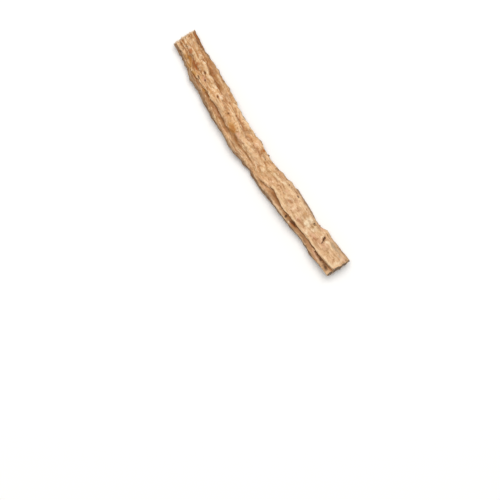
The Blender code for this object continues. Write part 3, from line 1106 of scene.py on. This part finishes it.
    def coarse(self) -> bpy.types.Object:
        """Draw the form at a fine pitch, with the attributes that its skin and cuts need.

        Returns:
            An object with the closed mesh.
        """
        form, inner = self.form, self.face_rings
        faces, ring, bearing = self.grid()
        station = np.clip((ring - inner - 1) / (self.sections - 1) * form.length, 0.0, form.length)
        share = np.clip(np.minimum(ring, self.sections + 2 * inner + 1 - ring) / (inner + 1), 0, 1)
        cut = share < 1
        y, z, height = form.section_point(station, bearing)
        half_width, half_height, middle_y, middle_z = form.half_sizes(station)
        radius = np.hypot(y - middle_y, z - middle_z)
        for pit in PITS:
            place = Swelling(pit.station, form.bearing_of(pit.station, pit.aside), -pit.strength,
                             pit.along, pit.across)
            dent = form.swelling_relief(place, station, bearing, radius)
            y += dent * np.cos(np.radians(bearing))
            z += dent * np.sin(np.radians(bearing))
            height += dent
        y = middle_y + (y - middle_y) * share
        z = middle_z + (z - middle_z) * share
        x = station - form.length / 2
        cleft = np.zeros_like(station)
        for end in CutEnd:
            side = end.value
            here = cut & (station == (0 if end is CutEnd.CROWN else form.length))
            near = np.clip(1 - (form.length / 2 - side * x) / form.rim_blend, 0, 1) ** 2
            within = np.clip(2 * share - 1, 0, 1)
            chips = self.chip_depth * form.ragged(y, z, self.chip_pitch, 2 * side) * within
            x = x + side * near * (form.cut_offset(y, z, end) + chips)
            cleft = np.where(here, self.cleft_share(share, bearing, end), cleft)
            x = x + np.where(here, side * (form.face_offset(y, z, share) - self.cleft_depth * cleft), 0)
        points = np.stack([x + form.along, y + form.aside, np.maximum(z, 0.0)], axis=-1) * MM
        mesh = bpy.data.meshes.new("root_form")
        mesh.from_pydata(points.tolist(), [], faces)

        turn = np.radians(bearing)
        mean = (half_width + half_height) / 2
        rise = np.degrees(np.arcsin(np.sin(turn)))
        under = 1 - self.underside_lighter * np.clip(-rise / self.underside_turn, 0, 1)
        numbers = {
            "relief": height,
            "skin": np.where(cut, 0.0, 1.0),
            "free": (1 - form.calm(bearing)) * np.clip(z / self.calm_height, 0, 1),
            # Painted shade on the flanks, strongest at the sides of the section.
            "painted_flank_shade": (np.clip(1 - rise / self.flank_shade_height, 0, 1) * under
                      * (1 - self.tip_lighter * np.clip(np.cos(turn), 0, 1) * station / form.length)),
            "tipward": station / form.length,
            "cleft": cleft,
        }
        for name, values in (numbers | self.stains_and_painted_light(station, bearing, radius)).items():
            mesh.attributes.new(name, "FLOAT", "POINT").data.foreach_set("value", values.astype(np.float32))
        cosine, sine = np.cos(turn), np.sin(turn)
        vectors = {
            "flow": (station, mean * cosine, mean * sine),
            "cut_flow": (x, y, z),
            "cut_place": (share * cosine, share * sine, np.zeros_like(share)),
        }
        for name, parts in vectors.items():
            values = np.stack(parts, axis=-1).astype(np.float32).ravel()
            mesh.attributes.new(name, "FLOAT_VECTOR", "POINT").data.foreach_set("vector", values)
        return new_object("root_form", mesh)

    def relief_tree(self, skin: bpy.types.Material, cut: bpy.types.Material) -> Tree:
        """Build the tree that wrinkles the skin.

        Args:
            skin: The material of the skin.
            cut: The material of the two cut faces.

        Returns:
            The tree, whose heights and spacings are in millimetres.
        """
        tree, start = new_tree("skin_relief", self.relief_sizes)
        size = start.outputs
        read = {}
        for name, kind in (("flow", "FLOAT_VECTOR"), ("skin", "FLOAT"), ("free", "FLOAT"),
                           ("relief", "FLOAT"), ("tipward", "FLOAT"), ("cut_flow", "FLOAT_VECTOR")):
            read[name] = add_node(tree, READ, name, data_type=kind)
        place = swayed(tree, read["flow"], *self.sway)
        pitch = {}
        for kind in ("Lump", "Crease", "Fine", "Scar", "Crack"):
            pitch[kind] = add_node(tree, MATH, 1.0, size[f"{kind} spacing"], operation="DIVIDE")

        # Lumps, a little longer than wide.
        drawn = add_node(tree, VECTORS, place, self.lump_stretch, operation="MULTIPLY")
        lumps = add_node(tree, NOISE, drawn, named={"Scale": pitch["Lump"], "Detail": 3.0, "Roughness": 0.5})
        lumps = add_node(tree, MATH, lumps, self.lump_level, operation="SUBTRACT")
        total = add_node(tree, MATH, lumps, size["Lump height"], operation="MULTIPLY")

        # Creases where a long-drawn pattern crosses its middle value: first the coarse, then the fine.
        for kind, width in self.crease_widths:
            ratio = add_node(tree, MATH, size[f"{kind} spacing"], size[f"{kind} length"], operation="DIVIDE")
            stretch = add_node(tree, JOIN, ratio, 1.0, 1.0)
            drawn = add_node(tree, VECTORS, place, stretch, operation="MULTIPLY")
            values = {"Scale": pitch[kind], "Detail": 2.0, "Roughness": 0.5}
            lines = add_node(tree, NOISE, drawn, named=values)
            lines = add_node(tree, MATH, lines, NOISE_MEAN, operation="SUBTRACT")
            lines = add_node(tree, MATH, lines, operation="ABSOLUTE")
            lines = add_node(tree, RANGE, lines, 0.0, width, 1.0, 0.0, interpolation_type="SMOOTHERSTEP")
            sunk = add_node(tree, MATH, lines, size[f"{kind} depth"], operation="MULTIPLY")
            total = add_node(tree, MATH, total, sunk, operation="SUBTRACT")

        # Rootlet scars: short pits across the root in the middle of low mounds, in some of the cells.
        drawn = add_node(tree, VECTORS, place, self.scar_stretch, operation="MULTIPLY")
        cells = add_node(tree, "ShaderNodeTexVoronoi", drawn, named={"Scale": pitch["Scar"]})
        chosen = add_node(tree, SPLIT, cells.outputs["Color"])
        fewer = add_node(tree, MATH, read["tipward"], self.scar_rarer, chosen, operation="MULTIPLY_ADD")
        chosen = add_node(tree, RANGE, fewer, *self.scar_limits, 0.0, 1.0)
        shapes = []
        for inner, outer in self.scar_reaches:
            shape = add_node(tree, RANGE, cells.outputs["Distance"], inner, outer, 1.0, 0.0,
                             interpolation_type="SMOOTHSTEP")
            shapes.append(add_node(tree, MATH, shape, chosen, operation="MULTIPLY"))
        scar, mound = shapes
        sunk = add_node(tree, MATH, scar, size["Scar depth"], operation="MULTIPLY")
        total = add_node(tree, MATH, total, sunk, operation="SUBTRACT")
        total = add_node(tree, MATH, mound, size["Scar mound"], total, operation="MULTIPLY_ADD")

        # Short cracks across the root.
        drawn = add_node(tree, VECTORS, place, self.crack_stretch, operation="MULTIPLY")
        cracks = add_node(tree, NOISE, drawn, named={"Scale": pitch["Crack"], "Detail": 3.0})
        cracks = add_node(tree, RANGE, cracks, *self.crack_limits, 0.0, 1.0, interpolation_type="SMOOTHSTEP")
        sunk = add_node(tree, MATH, cracks, size["Crack depth"], operation="MULTIPLY")
        total = add_node(tree, MATH, total, sunk, operation="SUBTRACT")
        lower = add_node(tree, MATH, read["tipward"], self.tip_weaker, self.crown_strength,
                         operation="MULTIPLY_ADD")
        for factor in (lower, read["free"], read["skin"]):
            total = add_node(tree, MATH, total, factor, operation="MULTIPLY")

        # The cut faces are only torn.
        torn = noises(tree, read["cut_flow"], {"torn": self.torn})["torn"]
        torn = add_node(tree, MATH, torn, NOISE_MEAN, operation="SUBTRACT")
        torn = add_node(tree, MATH, torn, size["Cut roughness"], operation="MULTIPLY")
        inside = add_node(tree, MATH, 1.0, read["skin"], operation="SUBTRACT")
        out = add_node(tree, MATH, torn, inside, total, operation="MULTIPLY_ADD")

        # Move the points out along the surface's normal, and keep them above the floor.
        normal = add_node(tree, "GeometryNodeInputNormal")
        reach = add_node(tree, MATH, out, MM, operation="MULTIPLY")
        move = add_node(tree, VECTORS, normal, named={"Scale": reach}, operation="SCALE")
        moved = add_node(tree, PLACE, size["Geometry"], named={"Offset": move})
        parts = add_node(tree, SPLIT, add_node(tree, "GeometryNodeInputPosition")).outputs
        above = add_node(tree, MATH, parts[2], 0.0, operation="MAXIMUM")
        place = add_node(tree, JOIN, parts[0], parts[1], above)
        moved = add_node(tree, PLACE, moved, named={"Position": place})

        # Keep how far each point stands over the surface near it, for the colours: painted shade in the
        # hollows and painted highlight on the humps.
        height = add_node(tree, MATH, read["relief"], total, operation="ADD")
        kept = {"scar": scar}
        for name, blur in (("rise_close", "Close blur"), ("rise_wide", "Wide blur")):
            smooth = add_node(tree, "GeometryNodeBlurAttribute", height, named={"Iterations": size[blur]},
                              data_type="FLOAT")
            over = add_node(tree, MATH, height, smooth, operation="SUBTRACT")
            kept[name] = add_node(tree, MATH, over, lower, operation="MULTIPLY")
        for name, value in kept.items():
            moved = add_node(tree, "GeometryNodeStoreNamedAttribute", moved,
                             named={"Name": name, "Value": value}, data_type="FLOAT", domain="POINT")
        is_cut = add_node(tree, COMPARE, read["skin"], 0.5, data_type="FLOAT", operation="LESS_THAN")
        finish_tree(tree, moved, {skin: None, cut: is_cut})
        return tree

    def build(self) -> bpy.types.Object:
        """Make the dressed root.

        Returns:
            The finished piece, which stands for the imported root.
        """
        coarse = self.coarse()
        tree = self.relief_tree(DriedRootSkin().material(), CutRootWood().material())
        piece = grown(coarse, tree, self.relief_sizes, "root_skin")
        bpy.data.objects.remove(coarse)
        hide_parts("root")
        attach(piece, BODY)
        return piece


@dataclass
class Scatter:
    """Small parts spread over the root's surface: how many, how large, and how they turn."""

    name: str
    finish: DryPlantMatter
    on_skin: bool
    sizes: dict
    least_free: float = 0.7

    def shape(self, tree: Tree, size: dict) -> Node:
        """Make one of the small parts, standing on its origin with Z outward.

        Args:
            tree: The tree.
            size: The tree's named inputs.

        Returns:
            The node whose first output is the part's mesh.
        """
        raise NotImplementedError

    def tree(self) -> Tree:
        """Build the tree that spreads the parts.

        Returns:
            The tree, whose lengths are in millimetres.
        """
        tree, start = new_tree(self.name, self.sizes)
        size = start.outputs
        skin, free = [add_node(tree, READ, name, data_type="FLOAT") for name in ("skin", "free")]
        if self.on_skin:
            test = (add_node(tree, MATH, skin, free, operation="MULTIPLY"), self.least_free)
        else:
            test = (0.5, skin)
        chosen = add_node(tree, COMPARE, *test, data_type="FLOAT", operation="GREATER_THAN")
        spread = add_node(tree, "GeometryNodeDistributePointsOnFaces", size["Geometry"],
                          named={"Selection": chosen, "Density": size["Per square metre"],
                                 "Seed": size["Seed"]})
        turned = add_node(tree, "FunctionNodeAlignRotationToVector", spread.outputs["Rotation"],
                          named={"Vector": (1.0, 0.0, 0.0)}, axis="X", pivot_axis="Z")
        high = [size["Lean"], size["Lean"], size["Spin"]]
        low = [add_node(tree, MATH, most, -1.0, operation="MULTIPLY") for most in high]
        angles = add_node(tree, RANDOM, add_node(tree, JOIN, *low), add_node(tree, JOIN, *high),
                          named={"Seed": size["Seed"]}, data_type="FLOAT_VECTOR")
        angles = add_node(tree, "FunctionNodeEulerToRotation", angles)
        turned = add_node(tree, "FunctionNodeRotateRotation", turned, angles, rotation_space="LOCAL")
        scale = add_node(tree, RANDOM, named={2: size["Smallest"], 3: size["Largest"], "Seed": size["Seed"]},
                         data_type="FLOAT")
        placed = add_node(tree, "GeometryNodeInstanceOnPoints", spread.outputs["Points"],
                          named={"Instance": self.shape(tree, size), "Rotation": turned,
                                 "Scale": scale.outputs[1]})
        finish_tree(tree, placed, {self.finish.material(): None})
        return tree

    def build(self, host: bpy.types.Object) -> bpy.types.Object:
        """Spread the parts over the root.

        Args:
            host: The root's finished skin.

        Returns:
            The finished piece.
        """
        piece = grown(host, self.tree(), self.sizes, self.name)
        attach(piece, BODY)
        return piece


@dataclass
class RootletStumps(Scatter):
    """Short stumps of rootlets that broke off close to the skin."""

    name: str = "rootlet_stumps"
    finish: DryPlantMatter = DryPlantMatter("rootlet_cork", "#c79a68", "#946539")
    on_skin: bool = True
    sizes: dict = field(default_factory=lambda: {
        "Per square metre": 24000.0, "Seed": 4, "Lean": 0.35, "Spin": 3.1, "Smallest": 0.55, "Largest": 1.2,
        "Foot radius": 0.34, "Top radius": 0.17, "Height": 0.50, "Sunk": 0.22,
    })

    # The bumps of a stump, for each metre, and their reach in metres.
    bumps: float = 3500.0
    bump_reach: float = 0.0003

    def shape(self, tree: Tree, size: dict) -> Node:
        """Make a stump: a stout cone with its top broken off.

        Args:
            tree: The tree.
            size: The tree's named inputs.

        Returns:
            The node whose first output is the stump's mesh.
        """
        foot, top, height, sunk = metres(tree, size, ("Foot radius", "Top radius", "Height", "Sunk"))
        cone = add_node(tree, "GeometryNodeMeshCone",
                        named={"Vertices": 10, "Side Segments": 2, "Radius Top": top, "Radius Bottom": foot,
                               "Depth": height})
        down = add_node(tree, MATH, sunk, -1.0, operation="MULTIPLY")
        offset = add_node(tree, JOIN, named={2: down})
        place = add_node(tree, "GeometryNodeInputPosition")
        uneven = add_node(tree, NOISE, place, named={"Scale": self.bumps}).outputs["Color"]
        uneven = add_node(tree, VECTORS, uneven, NOISE_MIDDLE, operation="SUBTRACT")
        reach = (self.bump_reach, self.bump_reach, self.bump_reach)
        offset = add_node(tree, VECTORS, uneven, reach, offset, operation="MULTIPLY_ADD")
        return add_node(tree, PLACE, cone, named={"Offset": offset})


@dataclass
class CorkScales(Scatter):
    """Thin scales of cork that have come loose from the skin at their ends."""

    name: str = "cork_scales"
    finish: DryPlantMatter = DryPlantMatter("cork_scale", "#debb90", "#b98c5e")
    on_skin: bool = True
    sizes: dict = field(default_factory=lambda: {
        "Per square metre": 60000.0, "Seed": 4, "Lean": 0.16, "Spin": 0.5, "Smallest": 0.4, "Largest": 1.15,
        "Length": 1.5, "Width": 0.62, "Thickness": 0.07, "Curl": 0.22,
    })

    def shape(self, tree: Tree, size: dict) -> Node:
        """Make a scale: a flat lens whose ends curl up.

        Args:
            tree: The tree.
            size: The tree's named inputs.

        Returns:
            The node whose first output is the scale's mesh.
        """
        halves = metres(tree, size, ("Length", "Width", "Thickness"), 0.5)
        curled, = metres(tree, size, ("Curl",))
        ball = add_node(tree, "GeometryNodeMeshUVSphere", named={"Segments": 10, "Rings": 5, "Radius": 1.0})
        parts = add_node(tree, SPLIT, add_node(tree, "GeometryNodeInputPosition")).outputs
        x, y, z = [add_node(tree, MATH, part, half, operation="MULTIPLY")
                   for part, half in zip(parts, halves)]
        bow = add_node(tree, MATH, parts[0], parts[0], operation="MULTIPLY")
        z = add_node(tree, MATH, bow, curled, z, operation="MULTIPLY_ADD")
        place = add_node(tree, JOIN, x, y, z)
        return add_node(tree, PLACE, ball, named={"Position": place})


@dataclass
class TornFibres(Scatter):
    """Fibres that stand out of the two cut faces."""

    name: str = "torn_fibres"
    finish: DryPlantMatter = DryPlantMatter("torn_fibre", "#efdabc", "#c09a70", painted_flank_shade=0.0)
    on_skin: bool = False
    sizes: dict = field(default_factory=lambda: {
        "Per square metre": 1600000.0, "Seed": 6, "Lean": 0.45, "Spin": 3.1, "Smallest": 0.35, "Largest": 1.0,
        "Length": 0.85, "Bend": 0.22, "Thickness": 0.075,
    })

    # Shares of the length where a fibre starts and bends, and of the thickness at its foot and its end.
    starts: float = -0.25
    bends: float = 0.5
    foot_share: float = 0.5
    end_share: float = 0.15

    def shape(self, tree: Tree, size: dict) -> Node:
        """Make a fibre: a bent, tapering thread rooted below the face.

        Args:
            tree: The tree.
            size: The tree's named inputs.

        Returns:
            The node whose first output is the fibre's mesh.
        """
        length, bend, thick = metres(tree, size, ("Length", "Bend", "Thickness"))
        low = add_node(tree, MATH, length, self.starts, operation="MULTIPLY")
        middle = add_node(tree, MATH, length, self.bends, operation="MULTIPLY")
        points = [add_node(tree, JOIN, named=values)
                  for values in ({2: low}, {2: middle}, {0: bend, 2: length})]
        thread = add_node(tree, "GeometryNodeCurveQuadraticBezier", 5, *points)
        share = add_node(tree, "GeometryNodeSplineParameter").outputs["Factor"]
        taper = add_node(tree, RANGE, share, named={3: self.foot_share, 4: self.end_share})
        radius = add_node(tree, MATH, taper, thick, operation="MULTIPLY")
        ring = add_node(tree, "GeometryNodeCurvePrimitiveCircle", named={"Resolution": 5, "Radius": 1.0})
        return add_node(tree, "GeometryNodeCurveToMesh", thread, ring,
                        named={"Scale": radius, "Fill Caps": True})


@dataclass
class Studio:
    """A pale floor, soft light from the top of the picture, and a camera that looks straight down."""

    form: RootForm
    picture: float = 500.0
    crown_pixel: tuple = (185.4, 38.0)
    tip_pixel: tuple = (339.0, 266.5)
    lens: float = 180.0
    sensor: float = 36.0
    root_height: float = 4.0
    floor_size: float = 4.0
    floor_colour: str = "#f6f5f3"
    floor_roughness: float = 0.9
    sky_strength: float = 0.34
    key_power: float = 13.9
    key_size: float = 0.70
    key_reach: float = 0.27
    key_height: float = 1.20

    def picture_axes(self) -> tuple[Vector, Vector, float]:
        """Work out which way the picture's right and up point, from the root's two ends in it.

        Returns:
            The right and up directions, and how many metres a pixel covers at the root.
        """
        across = self.tip_pixel[0] - self.crown_pixel[0]
        down = self.tip_pixel[1] - self.crown_pixel[1]
        reach = math.hypot(across, down)
        right = Vector((across / reach, down / reach, 0.0))
        up = Vector((-down / reach, across / reach, 0.0))
        return right, up, self.form.length * MM / reach

    def floor(self) -> None:
        """Lay the floor."""
        mesh = bpy.data.meshes.new("studio_floor")
        sheet = bmesh.new()
        bmesh.ops.create_grid(sheet, x_segments=1, y_segments=1, size=self.floor_size / 2)
        sheet.to_mesh(mesh)
        sheet.free()
        floor = new_object("studio_floor", mesh)
        material = new_material("studio_paper", self.floor_colour)
        shader = material.node_tree.nodes["Principled BSDF"]
        shader.inputs["Roughness"].default_value = self.floor_roughness
        mesh.materials.append(material)

    def lights(self) -> None:
        """Set the sky and the key light."""
        world = bpy.data.worlds.new("studio_sky")
        world.use_nodes = True
        world.node_tree.nodes["Background"].inputs["Color"].default_value = (1.0, 1.0, 1.0, 1.0)
        world.node_tree.nodes["Background"].inputs["Strength"].default_value = self.sky_strength
        bpy.context.scene.world = world
        _, up, _ = self.picture_axes()
        light = bpy.data.lights.new("key", "AREA")
        light.size = self.key_size
        light.energy = self.key_power
        key = new_object("key", light)
        key.location = up * self.key_reach + Vector((0.0, 0.0, self.key_height))
        key.rotation_euler = (-key.location).to_track_quat("-Z", "Y").to_euler()

    def camera(self) -> None:
        """Place the camera so that the root's two ends fall on their pixels."""
        right, up, pixel = self.picture_axes()
        crown = Vector((self.form.along - self.form.length / 2, self.form.aside, self.root_height)) * MM
        middle = self.picture / 2
        aside, above = middle - self.crown_pixel[0], middle - self.crown_pixel[1]
        centre = crown + right * (aside * pixel) - up * (above * pixel)
        data = bpy.data.cameras.new("camera")
        data.lens = self.lens
        data.sensor_width = self.sensor
        distance = self.picture * pixel * self.lens / self.sensor
        data.clip_start = distance / 100
        camera = new_object("camera", data)
        turn = Matrix((right, up, Vector((0.0, 0.0, 1.0)))).transposed()
        camera.matrix_world = Matrix.Translation(centre + Vector((0.0, 0.0, distance))) @ turn.to_4x4()
        bpy.context.scene.camera = camera
        bpy.context.scene.view_settings.view_transform = "Standard"

    def build(self) -> None:
        """Set the whole studio up."""
        self.floor()
        self.lights()
        self.camera()


def main() -> None:
    """Build the root and its studio in order, and report each piece."""
    logging.basicConfig(level=logging.INFO, format="%(name)s: %(message)s")
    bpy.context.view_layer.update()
    form = RootForm()
    skin = RootSkin(form).build()
    pieces = [skin, *(scatter.build(skin) for scatter in (RootletStumps(), CorkScales(), TornFibres()))]
    for piece in pieces:
        LOG.info("%s: %d faces", piece.name, len(piece.data.polygons))
    Studio(form).build()


if __name__ == "__main__":
    main()
